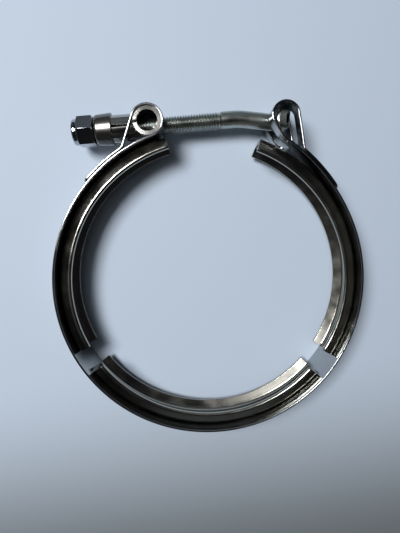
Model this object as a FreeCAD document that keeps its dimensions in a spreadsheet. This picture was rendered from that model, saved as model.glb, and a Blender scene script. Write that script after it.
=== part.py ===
"""V band clamp: a slotted strap with two end loops, three V retainers, a trunnion, a T bolt and a lock nut.

Millimetres. The origin is on the ring's axis, half way up the strap's width. Z is the ring's axis,
and the bolt's straight shank lies along X on the +Y side. The clamp rests on the strap's lower edge.
"""
import FreeCAD, Part
import Sketcher
import math
import os

V = FreeCAD.Vector
UP = V(0, 0, 1)

doc = FreeCAD.newDocument("VBandClamp")
sheet = doc.addObject("Spreadsheet::Sheet", "Sizes")

# Driving sizes: millimetres and degrees. Azimuths are counter-clockwise from +X round the ring.
SIZES = {
    # strap
    "strap_inner_radius": 55.7,
    "strap_thickness": 0.8,
    "strap_width": 19.0,
    "ply_gap": 0.15,
    "left_end_azimuth": 135.4,
    "left_fold_azimuth": 118.5,
    "left_fold_radius": 3.0,
    "right_lift_azimuth": 17.0,
    "right_lift": 2.0,
    "right_takeoff_azimuth": 56.93,
    "right_takeoff_radius": 8.0,
    "right_loop_azimuth": 60.9,
    "right_loop_standoff": 8.8,
    "right_loop_inner_radius": 4.25,
    "right_fold_azimuth": 44.8,
    "right_fold_radius": 2.0,
    "right_end_azimuth": 29.4,
    "end_corner_radius": 2.5,
    "slot_clearance": 0.7,
    "slot_corner_radius": 1.8,
    "right_slot_rise": 4.2,
    "right_slot_drop": 5.2,
    "right_slot_length": 1.9,
    "back_slot_rise": 3.35,
    "back_slot_drop": 10.0,
    "back_slot_corner_radius": 3.4,
    "weld_radius": 1.5,
    "weld_dimple_depth": 0.12,
    "weld_height": 4.8,
    # retainers
    "retainer_thickness": 1.6,
    "retainer_depth": 5.2,
    "retainer_flat_width": 5.8,
    "retainer_bend_radius": 3.0,
    "retainer_leg_angle": 20.0,
    "retainer_start_azimuth": 101.6,
    "retainer_gap_angle": 9.6,
    "retainer_mouth_angle": 36.3,
    # bolt
    "bolt_radius": 3.0,
    "thread_radius": 2.95,
    "plain_shank_length": 4.0,
    "bolt_tip_chamfer": 0.7,
    "bolt_tip_recess": 0.8,
    "bolt_bend_reach": 18.2,
    "bolt_bend_radius": 30.0,
    "bolt_clearance": 0.5,
    "head_length": 15.0,
    "head_bearing_radius": 3.2,
    "head_back": 2.2,
    "head_edge_radius": 0.8,
    "head_clearance": 0.3,
    "head_seat_azimuth": 248.0,
    # trunnion
    "barrel_azimuth": 105.8,
    "barrel_radius": 4.95,
    "barrel_clearance": 0.05,
    "barrel_wall": 1.3,
    "barrel_length": 17.6,
    "sleeve_radius": 4.9,
    "sleeve_wall": 1.25,
    "sleeve_length": 18.3,
    "seam_width": 1.1,
    # thrust cap
    "cap_length": 6.5,
    "cap_bottom": 1.3,
    "cap_end_clearance": 0.2,
    "cap_clearance": 0.05,
    "cap_wall": 0.85,
    "cap_taper": 0.4,
    "cap_edge_radius": 1.4,
    # lock nut
    "nut_flats": 10.0,
    "nut_height": 7.9,
    "nut_collar_height": 1.9,
    "nut_collar_radius": 4.65,
    "nut_lip": 0.5,
    "nut_washer_inset": 0.1,
    "nut_chamfer_angle": 30.0,
    "nut_bore_chamfer": 0.3,
    "nut_opening_radius": 3.4,
    "nut_collar_edge_radius": 0.9,
    "nut_seat_gap": 0.05,
    "thread_clearance": 0.05,
    "insert_radius": 4.0,
    "insert_height": 2.2,
}

for row, (alias, value) in enumerate(SIZES.items(), start=1):
    sheet.set("A%d" % row, alias)
    sheet.set("B%d" % row, str(value))
    sheet.setAlias("B%d" % row, alias)
doc.recompute()


def size(alias):
    """The number in the sheet's cell of that name."""
    return float(getattr(sheet, alias))


def total(text):
    """Add up signed names and numbers, such as 'cap_face_x + cap_bottom'."""
    answer, sign = 0.0, 1.0
    for word in text.split():
        if word in "+-":
            sign = 1.0 if word == "+" else -1.0
        elif word[0].isdigit():
            answer += sign * float(word)
        else:
            answer += sign * size(word)
    return answer


def formula(text):
    """The same sum as an expression on the sheet."""
    words = [w if w in "+-" or w[0].isdigit() else "Sizes." + w for w in text.split()]
    return " ".join(words)


def new_body(label):
    body = doc.addObject("PartDesign::Body", label)
    body.Label = label
    return body


def new_sketch(body, name, role, offset=0.0):
    """A sketch on one of the body's own origin planes, moved along the plane's normal."""
    sketch = body.newObject("Sketcher::SketchObject", body.Label + "_" + name)
    plane = [f for f in body.Origin.OriginFeatures if f.Role == role][0]
    sketch.AttachmentSupport = (plane, [""])
    sketch.MapMode = "FlatFace"
    sketch.AttachmentOffset = FreeCAD.Placement(V(0, 0, offset), FreeCAD.Rotation())
    return sketch


def draw_circle(sketch, across, along, radius):
    """A circle whose centre and radius are sums, each bound to the sheet."""
    index = sketch.addGeometry(Part.Circle(V(total(across), total(along), 0), UP, total(radius)), False)
    rules = (("DistanceX", across), ("DistanceY", along))
    for kind, text in rules:
        number = sketch.addConstraint(Sketcher.Constraint(kind, -1, 1, index, 3, total(text)))
        sketch.setExpression("Constraints[%d]" % number, formula(text))
    number = sketch.addConstraint(Sketcher.Constraint("Radius", index, total(radius)))
    sketch.setExpression("Constraints[%d]" % number, formula(radius))


def feature(body, kind, name, profile):
    made = body.newObject("PartDesign::" + kind, body.Label + "_" + name)
    made.Profile = profile
    return made


def round_edges(body, name, edges, radius):
    """Fillet the named edges of the body's last feature by a size of the sheet."""
    base = body.Tip
    fillet = body.newObject("PartDesign::Fillet", body.Label + "_" + name)
    fillet.Base = (base, edges)
    fillet.setExpression("Radius", formula(radius))
    return fillet


def edges_where(shape, test):
    return ["Edge%d" % number for number, edge in enumerate(shape.Edges, start=1) if test(edge)]


def round_edges_of(shape, radius, place=None):
    """Circular edges of that radius, if wanted only those with their centre at that X."""
    def matches(edge):
        curve = edge.Curve
        if not isinstance(curve, Part.Circle) or abs(curve.Radius - radius) > 0.01:
            return False
        return place is None or abs(curve.Center.x - place) < 0.01
    return edges_where(shape, matches)


def polar(radius, azimuth):
    angle = math.radians(azimuth)
    return V(radius * math.cos(angle), radius * math.sin(angle), 0)


# Where a retainer's three spot welds are, as shares of its span, and a slot's start as a share of a radius
WELD_SHARES = (0.14, 0.5, 0.77)
SLOT_START = 0.6
FULL_TURN = 360
RETAINERS = ("retainer_left", "retainer_bottom", "retainer_right")

# Places that several pieces share
strap_outer_radius = size("strap_inner_radius") + size("strap_thickness")
strap_middle_radius = size("strap_inner_radius") + size("strap_thickness") / 2
outer_ply_radius = strap_middle_radius + size("strap_thickness") + size("ply_gap")
left_loop_radius = size("barrel_radius") + size("barrel_clearance") + size("strap_thickness") / 2
right_loop_radius = size("right_loop_inner_radius") + size("strap_thickness") / 2

# The barrel's wrap touches the ring from outside, and the bolt runs through the barrel's middle.
barrel_centre = polar(strap_middle_radius + left_loop_radius, size("barrel_azimuth"))
barrel_x = barrel_centre.x
bolt_height = barrel_centre.y

# The strap's right end springs off the ring along a wider arc, which has its full lift at the take-off.
takeoff_reach = strap_middle_radius + size("right_lift")
takeoff_point = polar(takeoff_reach, size("right_takeoff_azimuth"))
lift_span = math.radians(size("right_takeoff_azimuth") - size("right_lift_azimuth"))
lift_fall = strap_middle_radius - takeoff_reach * math.cos(lift_span)
lift_offset = (takeoff_reach ** 2 - strap_middle_radius ** 2) / 2 / lift_fall
lift_radius = strap_middle_radius + lift_offset
lift_centre = polar(-lift_offset, size("right_lift_azimuth"))
lift_ply_radius = lift_radius + size("strap_thickness") + size("ply_gap")

# The bolt's head is drawn against the wall of the roomy right loop.
right_loop_centre = polar(strap_outer_radius + size("right_loop_standoff"), size("right_loop_azimuth"))
head_play = size("right_loop_inner_radius") - size("head_bearing_radius") - size("head_clearance")
head_centre = right_loop_centre + polar(head_play, size("head_seat_azimuth"))

# Places along the bolt's axis, from the bend to the tip
bend_x = right_loop_centre.x - size("bolt_bend_reach")
thread_end_x = bend_x - size("plain_shank_length")
cap_inner_x = barrel_x - size("sleeve_length") - size("cap_end_clearance")
cap_face_x = cap_inner_x - size("cap_bottom")
nut_seat_x = cap_face_x - size("nut_seat_gap")
nut_end_x = nut_seat_x - size("nut_height")
collar_x = nut_end_x + size("nut_collar_height")
bolt_tip_x = nut_end_x + size("bolt_tip_recess")

# The three retainers and the two gaps between them fill the ring up to its mouth.
retainer_span = (FULL_TURN - size("retainer_mouth_angle") - 2 * size("retainer_gap_angle")) / len(RETAINERS)
retainer_pitch = retainer_span + size("retainer_gap_angle")
retainer_starts = [size("retainer_start_azimuth") + step * retainer_pitch for step in range(len(RETAINERS))]


class Path:
    """A plane line of tangent arcs and straights, which a sheet of metal follows."""

    def __init__(self):
        self.steps = []

    def bend(self, centre, radius, start, end, turn):
        """An arc by the azimuths of its two ends about its centre, turning left or right."""
        span = (end - start) % 360 if turn == "left" else -((start - end) % 360)
        self.steps.append(("bend", centre, radius, start, start + span))

    def line(self, start, end):
        self.steps.append(("line", start, end))

    def side(self, offset):
        """The lines and arcs of the path moved to its left by the offset."""
        pieces = []
        for step in self.steps:
            if step[0] == "line":
                along = (step[2] - step[1]).normalize()
                left = V(-along.y, along.x, 0) * offset
                pieces.append(Part.LineSegment(step[1] + left, step[2] + left))
                continue
            _, centre, radius, start, end = step
            moved = radius - offset if end > start else radius + offset
            spots = [centre + polar(moved, azimuth) for azimuth in (start, (start + end) / 2, end)]
            pieces.append(Part.Arc(*spots))
        return pieces

    def end_line(self, thickness, last):
        """The square cut across the sheet at the first or the last end of the path."""
        step = self.steps[-1 if last else 0]
        _, centre, radius, start, end = step
        azimuth = end if last else start
        low, high = radius - thickness / 2, radius + thickness / 2
        return Part.LineSegment(centre + polar(low, azimuth), centre + polar(high, azimuth))

    def outline(self, thickness):
        """The closed outline of a sheet of that thickness, seen on its edge."""
        sides = self.side(thickness / 2) + self.side(-thickness / 2)
        return sides + [self.end_line(thickness, False), self.end_line(thickness, True)]


def tangent_heading(start, start_turn, end, end_turn):
    """Heading of the straight between two bends: a turn is the bend's radius, positive to the left."""
    gap = end - start
    return math.degrees(math.atan2(gap.y, gap.x) + math.asin((start_turn - end_turn) / gap.Length))


def strap_path():
    """The strap's middle line, from its left end over both loops to its right end."""
    path = Path()
    origin = V(0, 0, 0)

    fold, fold_azimuth = size("left_fold_radius"), size("left_fold_azimuth")
    fold_centre = polar(outer_ply_radius + fold, fold_azimuth)
    rise = tangent_heading(fold_centre, fold, barrel_centre, -left_loop_radius)
    touch = size("barrel_azimuth")
    path.bend(origin, outer_ply_radius, size("left_end_azimuth"), fold_azimuth, "right")
    path.bend(fold_centre, fold, fold_azimuth - 180, rise - 90, "left")
    path.line(fold_centre + polar(fold, rise - 90), barrel_centre + polar(left_loop_radius, rise + 90))
    path.bend(barrel_centre, left_loop_radius, rise + 90, touch - 180, "right")

    away, lift_azimuth = size("right_takeoff_radius"), size("right_lift_azimuth")
    leave = takeoff_point - lift_centre
    takeoff = math.degrees(math.atan2(leave.y, leave.x))
    away_centre = lift_centre + polar(lift_radius + away, takeoff)
    climb = tangent_heading(away_centre, -away, right_loop_centre, -right_loop_radius)
    path.bend(origin, strap_middle_radius, touch, lift_azimuth, "left")
    path.bend(lift_centre, lift_radius, lift_azimuth, takeoff, "left")
    path.bend(away_centre, away, takeoff - 180, climb + 90, "right")
    loop_start = right_loop_centre + polar(right_loop_radius, climb + 90)
    path.line(away_centre + polar(away, climb + 90), loop_start)

    fold, fold_azimuth = size("right_fold_radius"), size("right_fold_azimuth")
    fold_centre = lift_centre + polar(lift_ply_radius + fold, fold_azimuth)
    drop = tangent_heading(right_loop_centre, -right_loop_radius, fold_centre, fold)
    path.bend(right_loop_centre, right_loop_radius, climb + 90, drop + 90, "right")
    loop_end = right_loop_centre + polar(right_loop_radius, drop + 90)
    path.line(loop_end, fold_centre + polar(fold, drop - 90))
    path.bend(fold_centre, fold, drop - 90, fold_azimuth - 180, "left")
    path.bend(lift_centre, lift_ply_radius, fold_azimuth, size("right_end_azimuth"), "right")
    return path


def draw_lines(sketch, pieces):
    for piece in pieces:
        sketch.addGeometry(piece, False)


def draw_polygon(sketch, corners):
    """A closed outline through corners (across, along), or (across, along, radius) where it is rounded."""
    spots = [V(corner[0], corner[1], 0) for corner in corners]
    arcs, ends = [], []
    for index, spot in enumerate(spots):
        radius = corners[index][2] if len(corners[index]) > 2 else 0
        if not radius:
            ends.append((spot, spot))
            continue
        back = (spots[index - 1] - spot).normalize()
        ahead = (spots[(index + 1) % len(spots)] - spot).normalize()
        half = back.getAngle(ahead) / 2
        inward = (back + ahead).normalize()
        middle = spot + inward * (radius / math.sin(half) - radius)
        start, end = [spot + way * (radius / math.tan(half)) for way in (back, ahead)]
        arcs.append(Part.Arc(start, middle, end))
        ends.append((start, end))
    following = ends[1:] + ends[:1]
    draw_lines(sketch, arcs + [Part.LineSegment(here[1], there[0]) for here, there in zip(ends, following)])


def draw_window(sketch, low, high, half_height, corner="slot_corner_radius"):
    """A window with round corners, from low to high across and centred in height."""
    radius = size(corner)
    corners = [(low, -half_height), (high, -half_height), (high, half_height), (low, half_height)]
    draw_polygon(sketch, [(across, along, radius) for across, along in corners])


def pad(body, name, sketch, length, midplane=False):
    """Pad the sketch by a number, or by a sum of sizes bound to the sheet."""
    made = feature(body, "Pad", name, sketch)
    made.Midplane = midplane
    if isinstance(length, str):
        made.setExpression("Length", formula(length))
    else:
        made.Length = length
    doc.recompute()
    return made


def pocket(body, name, sketch, length, reverse=False, midplane=False):
    """Cut the sketch through a length against its normal, or along it, and check that it cut."""
    before = body.Shape.Volume
    made = feature(body, "Pocket", name, sketch)
    made.Length = length
    made.Reversed = reverse
    made.Midplane = midplane
    doc.recompute()
    if body.Shape.Volume > before - 0.01:
        raise RuntimeError("%s cut nothing" % made.Name)
    return made


def turn(body, kind, name, corners):
    """Turn an outline in the XY plane round the X axis, to add it or to cut it away."""
    sketch = new_sketch(body, name + "_outline", "XY_Plane")
    for outline in corners:
        draw_polygon(sketch, outline)
    made = feature(body, kind, name, sketch)
    made.ReferenceAxis = (sketch, ["H_Axis"])
    made.Angle = 360
    doc.recompute()
    return made


def is_end_corner(edge):
    """The short edges across the sheet at the two free ends of the strap."""
    middle = edge.CenterOfMass
    left = polar(outer_ply_radius, size("left_end_azimuth"))
    right = lift_centre + polar(lift_ply_radius, size("right_end_azimuth"))
    at_end = min(math.hypot(middle.x - end.x, middle.y - end.y) for end in (left, right)) < 0.01
    return at_end and abs(edge.Length - size("strap_thickness")) < 0.01


def weld_spot(body, kind, centre, azimuth, height, low, high):
    """A round weld between two radii about a centre: a nugget between plies, or a dimple outside."""
    spot = body.newObject("PartDesign::" + kind, body.Label + "_weld")
    spot.setExpression("Radius", formula("weld_radius"))
    spot.Height = high - low
    outward = FreeCAD.Rotation(UP, polar(1, azimuth))
    spot.Placement = FreeCAD.Placement(centre + polar(low, azimuth) + UP * height, outward)


def weld_strap(body):
    """Spot welds: two through each folded end, and up to three behind each retainer."""
    origin = V(0, 0, 0)
    height = size("weld_height")
    depth = size("weld_dimple_depth")
    half = size("strap_thickness") / 2
    left = (size("left_end_azimuth") + size("left_fold_azimuth")) / 2
    right = (size("right_end_azimuth") + size("right_fold_azimuth")) / 2
    folds = [(origin, left, outer_ply_radius), (lift_centre, right, lift_ply_radius)]
    for centre, azimuth, ply in folds:
        low, high = ply - half - size("ply_gap") - depth, ply - half + depth
        for side in (-height, height):
            weld_spot(body, "AdditiveCylinder", centre, azimuth, side, low, high)
            outside = ply + half
            weld_spot(body, "SubtractiveCylinder", centre, azimuth, side, outside - depth, outside + depth)
    for start in retainer_starts:
        for share in WELD_SHARES:
            azimuth = start + share * retainer_span
            # The strap has left the right retainer beyond the place where it lifts.
            if azimuth > FULL_TURN + size("right_lift_azimuth"):
                continue
            low, high = strap_outer_radius - depth, strap_outer_radius + depth
            weld_spot(body, "SubtractiveCylinder", origin, azimuth, 0, low, high)
    doc.recompute()


def make_strap():
    """One sheet: the ring, both loops and both folded ends, with a slot in each wall the bolt passes."""
    body = new_body("strap")
    sketch = new_sketch(body, "edge", "XY_Plane")
    draw_lines(sketch, strap_path().outline(size("strap_thickness")))
    pad(body, "band", sketch, "strap_width", midplane=True)
    round_edges(body, "end_corners", edges_where(body.Shape, is_end_corner), "end_corner_radius")
    doc.recompute()

    height = bolt_height
    sleeve_half = size("sleeve_radius") + size("slot_clearance")
    bolt_half = size("bolt_radius") + size("slot_clearance")
    wrap_reach = left_loop_radius + size("strap_thickness")

    # The sleeve leaves through the wrap's left wall, and the bolt through its right wall.
    sketch = new_sketch(body, "sleeve_slot", "YZ_Plane", barrel_x - size("barrel_radius") * SLOT_START)
    draw_window(sketch, height - sleeve_half, height + wrap_reach, sleeve_half)
    pocket(body, "sleeve_window", sketch, 2 * wrap_reach)
    sketch = new_sketch(body, "crown_slot", "YZ_Plane", barrel_x + size("slot_clearance"))
    draw_window(sketch, height + size("barrel_radius") / 2, height + 2 * wrap_reach, sleeve_half)
    pocket(body, "crown_window", sketch, 2 * wrap_reach)
    sketch = new_sketch(body, "bolt_slot", "YZ_Plane", barrel_x)
    draw_window(sketch, height - bolt_half, height + bolt_half, bolt_half)
    pocket(body, "bolt_window", sketch, wrap_reach, reverse=True)

    # The neck passes the right loop's left wall, with room to swing, and the slot runs on down to the ring.
    loop_x, loop_y = right_loop_centre.x, right_loop_centre.y
    sketch = new_sketch(body, "neck_slot", "YZ_Plane", loop_x - size("slot_clearance"))
    low = loop_y - size("right_slot_drop")
    draw_window(sketch, low, loop_y + size("right_slot_rise"), bolt_half)
    pocket(body, "neck_window", sketch, 2 * right_loop_radius)
    sketch = new_sketch(body, "foot_slot", "XZ_Plane", -loop_y)
    draw_window(sketch, loop_x - 2 * right_loop_radius, loop_x + size("right_slot_length"), bolt_half)
    pocket(body, "foot_window", sketch, size("back_slot_drop") + 1)

    # The loop's right wall has a slot too, with a round end towards the crown.
    sketch = new_sketch(body, "back_slot", "YZ_Plane", loop_x + size("slot_clearance"))
    low, high = loop_y - size("back_slot_drop"), loop_y + size("back_slot_rise")
    draw_window(sketch, low, high, bolt_half, "back_slot_corner_radius")
    pocket(body, "back_window", sketch, 2 * right_loop_radius, reverse=True)
    weld_strap(body)
    return body


def make_retainer(label, start):
    """A V segment open towards the axis: a flat base on the strap, two bends and two straight legs."""
    base = size("strap_inner_radius")
    toe = base - size("retainer_depth")
    wall = size("retainer_thickness")
    bend = size("retainer_bend_radius")
    slope = math.radians(size("retainer_leg_angle"))
    corner = size("retainer_flat_width") / 2 + bend * math.tan((math.pi / 2 - slope) / 2)
    wall_across = wall / math.cos(slope)

    def outer(radius):
        return corner + (base - radius) * math.tan(slope)

    upper = [(base, corner, bend), (toe, outer(toe), 0), (toe, outer(toe) - wall_across, 0)]
    upper.append((base - wall, outer(base - wall) - wall_across, bend - wall))
    lower = [(across, -along, radius) for across, along, radius in reversed(upper)]

    body = new_body(label)
    sketch = new_sketch(body, "section", "XZ_Plane")
    draw_polygon(sketch, upper + lower)
    ring = feature(body, "Revolution", "ring", sketch)
    ring.ReferenceAxis = (sketch, ["V_Axis"])
    gaps = "Sizes.retainer_mouth_angle - 2 * Sizes.retainer_gap_angle"
    ring.setExpression("Angle", "(%d - %s) / %d" % (FULL_TURN, gaps, len(RETAINERS)))
    body.Placement = FreeCAD.Placement(V(0, 0, 0), FreeCAD.Rotation(UP, start))
    doc.recompute()
    return body


def make_trunnion():
    """One sheet: a slit barrel across the strap, and two half shells drawn out of it round the bolt."""
    body = new_body("trunnion")
    sleeve_length = size("sleeve_length")
    barrel_reach = size("barrel_radius") + 1

    sketch = new_sketch(body, "barrel_round", "XY_Plane")
    draw_circle(sketch, "0", "0", "barrel_radius")
    pad(body, "barrel", sketch, "barrel_length", midplane=True)
    sketch = new_sketch(body, "sleeve_round", "YZ_Plane", -sleeve_length)
    draw_circle(sketch, "0", "0", "sleeve_radius")
    pad(body, "sleeve", sketch, sleeve_length)

    sketch = new_sketch(body, "barrel_bore_round", "XY_Plane")
    draw_circle(sketch, "0", "0", "barrel_radius - barrel_wall")
    pocket(body, "barrel_bore", sketch, 2 * size("barrel_length"), midplane=True)
    sketch = new_sketch(body, "sleeve_bore_round", "YZ_Plane", -sleeve_length)
    draw_circle(sketch, "0", "0", "sleeve_radius - sleeve_wall")
    pocket(body, "sleeve_bore", sketch, sleeve_length, reverse=True)
    sketch = new_sketch(body, "bolt_hole_round", "YZ_Plane")
    draw_circle(sketch, "0", "0", "bolt_radius + bolt_clearance")
    pocket(body, "bolt_hole", sketch, barrel_reach, reverse=True)

    # The seam runs down the barrel and along both sides of the sleeve.
    half_seam = size("seam_width") / 2
    far, near = -sleeve_length - 1, -size("barrel_radius") * SLOT_START
    sketch = new_sketch(body, "seam_line", "XY_Plane")
    draw_polygon(sketch, [(far, -half_seam), (near, -half_seam), (near, half_seam), (far, half_seam)])
    pocket(body, "seam", sketch, 2 * size("barrel_length"), midplane=True)
    body.Placement = FreeCAD.Placement(barrel_centre, FreeCAD.Rotation())
    return body


def on_bolt(body):
    """Move a body that is drawn about its own X axis up to the bolt's axis."""
    body.Placement = FreeCAD.Placement(V(0, bolt_height, 0), FreeCAD.Rotation())
    return body


def make_cap():
    """A cup over the sleeve's end, with a hole for the bolt in its closed face."""
    body = new_body("thrust_cap")
    inner = size("sleeve_radius") + size("cap_clearance")
    outer = inner + size("cap_wall")
    crown = outer - size("cap_taper")
    hole = size("bolt_radius") + size("bolt_clearance")
    mouth_x = cap_face_x + size("cap_length")
    outline = [(cap_face_x, hole), (cap_face_x, crown, size("cap_edge_radius")), (mouth_x, outer)]
    outline += [(mouth_x, inner), (cap_inner_x, inner), (cap_inner_x, hole)]
    turn(body, "Revolution", "cup", [outline])
    return on_bolt(body)


def make_bolt():
    """Thread, plain shank with its bend, and the cross head, drawn about the bolt's own axis."""
    body = new_body("t_bolt")
    bend = size("bolt_bend_radius")
    bend_centre = V(bend_x, -bend, 0)
    target = head_centre - V(0, bolt_height, 0)
    away = target - bend_centre
    fall = math.degrees(math.atan2(away.y, away.x) - math.asin(bend / away.Length))

    sketch = new_sketch(body, "thread_round", "YZ_Plane", bolt_tip_x)
    draw_circle(sketch, "0", "0", "thread_radius")
    thread = pad(body, "thread", sketch, thread_end_x - bolt_tip_x)
    tip_edge = round_edges_of(thread.Shape, size("thread_radius"), bolt_tip_x)
    tip = body.newObject("PartDesign::Chamfer", "t_bolt_tip")
    tip.Base = (thread, tip_edge)
    tip.setExpression("Size", formula("bolt_tip_chamfer"))

    spine = new_sketch(body, "spine", "XY_Plane")
    bend_end = bend_centre + polar(bend, fall + 90)
    spots = [bend_centre + polar(bend, 90 + part * fall) for part in (0, 0.5, 1)]
    steps = [Part.LineSegment(V(thread_end_x, 0, 0), V(bend_x, 0, 0)), Part.Arc(*spots)]
    draw_lines(spine, steps + [Part.LineSegment(bend_end, target)])
    sketch = new_sketch(body, "shank_round", "YZ_Plane", thread_end_x)
    draw_circle(sketch, "0", "0", "bolt_radius")
    shank = feature(body, "AdditivePipe", "shank", sketch)
    shank.Spine = spine
    doc.recompute()

    # The head is a half-round bar across the bolt, and its round side bears on the loop's wall.
    sketch = new_sketch(body, "head_section", "XY_Plane")
    bearing = size("head_bearing_radius")
    rim = [target + polar(bearing, fall + side) for side in (90, 180, 270)]
    back = polar(size("head_back"), fall)
    corners = [rim[2], rim[2] + back, rim[0] + back, rim[0]]
    straights = [Part.LineSegment(a, b) for a, b in zip(corners, corners[1:])]
    draw_lines(sketch, [Part.Arc(*rim)] + straights)
    head = pad(body, "head", sketch, "head_length", midplane=True)
    half_length = size("head_length") / 2

    heel_x = [corners[1].x, corners[2].x]

    def outside(edge):
        middle = edge.CenterOfMass
        at_end = abs(middle.z) > half_length - 0.001
        return at_end or (abs(middle.z) < 0.001 and min(abs(middle.x - x) for x in heel_x) < 0.001)

    round_edges(body, "head_edges", edges_where(head.Shape, outside), "head_edge_radius")
    return on_bolt(body)


def make_nut():
    """A high hexagon nut with a rounded collar that holds the plastic ring."""
    body = new_body("lock_nut")
    flat = size("nut_flats") / 2
    corner = flat / math.cos(math.radians(30))
    bore = size("thread_radius") + size("thread_clearance")
    cavity_low = nut_end_x + size("nut_lip")
    cavity_high = cavity_low + size("insert_height")

    sketch = new_sketch(body, "hexagon", "YZ_Plane", collar_x)
    draw_polygon(sketch, [tuple(polar(corner, 30 + 60 * step))[:2] for step in range(6)])
    pad(body, "body", sketch, nut_seat_x - collar_x)

    # Both ends of the hexagon are turned to a cone.
    washer = flat - size("nut_washer_inset")
    beyond = corner + 1
    drop = (beyond - washer) * math.tan(math.radians(size("nut_chamfer_angle")))
    seat_cone = [(nut_seat_x, washer), (nut_seat_x, beyond), (nut_seat_x - drop, beyond)]
    collar_cone = [(collar_x, washer), (collar_x, beyond), (collar_x + drop, beyond)]
    turn(body, "Groove", "cones", [seat_cone, collar_cone])

    rim = size("nut_collar_radius")
    outline = [(nut_end_x, 0), (nut_end_x, rim, size("nut_collar_edge_radius")), (collar_x, rim)]
    turn(body, "Revolution", "collar", [outline + [(collar_x, 0)]])

    lead = size("nut_bore_chamfer")
    outline = [(nut_seat_x, 0), (nut_seat_x, bore + lead), (nut_seat_x - lead, bore), (cavity_high, bore)]
    outline += [(cavity_high, size("insert_radius")), (cavity_low, size("insert_radius"))]
    outline += [(cavity_low, size("nut_opening_radius")), (nut_end_x, size("nut_opening_radius"))]
    turn(body, "Groove", "bore", [outline + [(nut_end_x, 0)]])
    return on_bolt(body)


def make_insert():
    """The plastic ring inside the nut's collar, which grips the thread."""
    body = new_body("nut_insert")
    bore = size("thread_radius") + size("thread_clearance")
    low = nut_end_x + size("nut_lip")
    high = low + size("insert_height")
    outer = size("insert_radius")
    turn(body, "Revolution", "ring", [[(low, bore), (low, outer), (high, outer), (high, bore)]])
    return on_bolt(body)


pieces = [make_strap()]
pieces += [make_retainer(label, start) for label, start in zip(RETAINERS, retainer_starts)]
pieces += [make_trunnion(), make_cap(), make_bolt(), make_nut(), make_insert()]
doc.recompute()

for obj in doc.Objects:
    for state in ("Invalid", "Error"):
        if state in obj.State:
            raise RuntimeError("%s is %s" % (obj.Name, state))
for piece in pieces:
    if piece.Shape.isNull() or not piece.Shape.isValid() or len(piece.Shape.Solids) != 1:
        raise RuntimeError("%s has no single valid solid" % piece.Label)

os.makedirs("parts", exist_ok=True)
for piece in pieces:
    piece.Shape.exportStep("parts/%s.step" % piece.Label)
    print(piece.Label, round(piece.Shape.Volume, 1), piece.Shape.BoundBox)
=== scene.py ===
# %% [markdown]
# # A V band clamp on a pale bench
#
# A V band clamp joins two flanged pipes. A polished strap runs round three V-shaped segments,
# and a bolt between the strap's two folded loops draws them over the flanges.
# The scene is in metres in the frame of the measured parts: the origin is on the ring's axis,
# half way up the strap, Z is that axis, and the bolt lies along X on the +Y side.

# %% [markdown]
# ## The measured parts
#
# The parts were first modelled as solids at their real size. They are loaded here to measure from,
# and every finished piece takes the place of one of them. Sizes below are in millimetres, so each
# is multiplied by MM where Blender needs metres.

# %% Load the measured parts
import math

import bmesh
import bpy
from mathutils import Matrix, Vector


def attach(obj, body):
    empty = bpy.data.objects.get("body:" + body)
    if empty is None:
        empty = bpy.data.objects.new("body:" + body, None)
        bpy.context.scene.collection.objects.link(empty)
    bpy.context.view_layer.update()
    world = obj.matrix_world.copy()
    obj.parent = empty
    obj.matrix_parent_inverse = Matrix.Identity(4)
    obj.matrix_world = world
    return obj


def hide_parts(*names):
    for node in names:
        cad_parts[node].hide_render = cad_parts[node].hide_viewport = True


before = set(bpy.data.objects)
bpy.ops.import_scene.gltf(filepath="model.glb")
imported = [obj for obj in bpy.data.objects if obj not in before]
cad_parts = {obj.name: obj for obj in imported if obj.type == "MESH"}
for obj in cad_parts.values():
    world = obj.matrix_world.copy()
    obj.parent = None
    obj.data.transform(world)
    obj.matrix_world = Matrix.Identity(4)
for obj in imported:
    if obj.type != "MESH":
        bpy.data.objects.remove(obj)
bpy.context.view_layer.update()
MM = 0.001

# %% [markdown]
# ## Modelling as by hand
#
# Every piece starts as a primitive and is shaped in edit mode. Operators act on whatever is
# selected, so the selection is cleared first, and then faces or edges are picked by their place.

# %% Start a primitive, pick parts of it and finish it


def start(add, scale=(1, 1, 1), **settings):
    """Add one primitive on its own, in place, and open it in edit mode with all of it selected."""
    bpy.ops.object.select_all(action="DESELECT")
    add(**settings)
    bpy.context.object.scale = scale
    bpy.ops.object.transform_apply(location=True, rotation=True, scale=True)
    bpy.ops.object.mode_set(mode="EDIT")
    bpy.ops.mesh.select_all(action="SELECT")
    return bpy.context.object


def pick(kind, test):
    """Select only those vertices, edges or faces whose middle passes the test."""
    bpy.ops.mesh.select_mode(type=kind)
    bpy.ops.mesh.select_all(action="DESELECT")
    mesh = bmesh.from_edit_mesh(bpy.context.object.data)
    items = {"VERT": mesh.verts, "EDGE": mesh.edges, "FACE": mesh.faces}[kind]
    for item in items:
        corners = [item] if kind == "VERT" else item.verts
        middle = sum((corner.co for corner in corners), Vector()) / len(corners)
        item.select_set(test(middle / MM))
    mesh.select_flush_mode()
    bmesh.update_edit_mesh(bpy.context.object.data)


def close(piece, name):
    """Leave edit mode with all faces turned outwards."""
    bpy.ops.mesh.select_all(action="SELECT")
    bpy.ops.mesh.normals_make_consistent(inside=False)
    bpy.ops.object.mode_set(mode="OBJECT")
    piece.name = name
    return piece


# %% [markdown]
# ## Finishes
#
# All the metal is stainless or plated steel, so each finish is a metallic shader: what differs is
# its tint, how rough it is, and the small marks that forming leaves. The patterns read Object
# coordinates, in metres, so their scales are high numbers. The first pattern is one of faint
# stains, where handling and heat have made the steel a little duller.

# %% Uneven roughness
STAIN_SCALE = 140
STAIN_DETAIL = 4
NOISE_LOW = 0.3
NOISE_HIGH = 0.7


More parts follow.
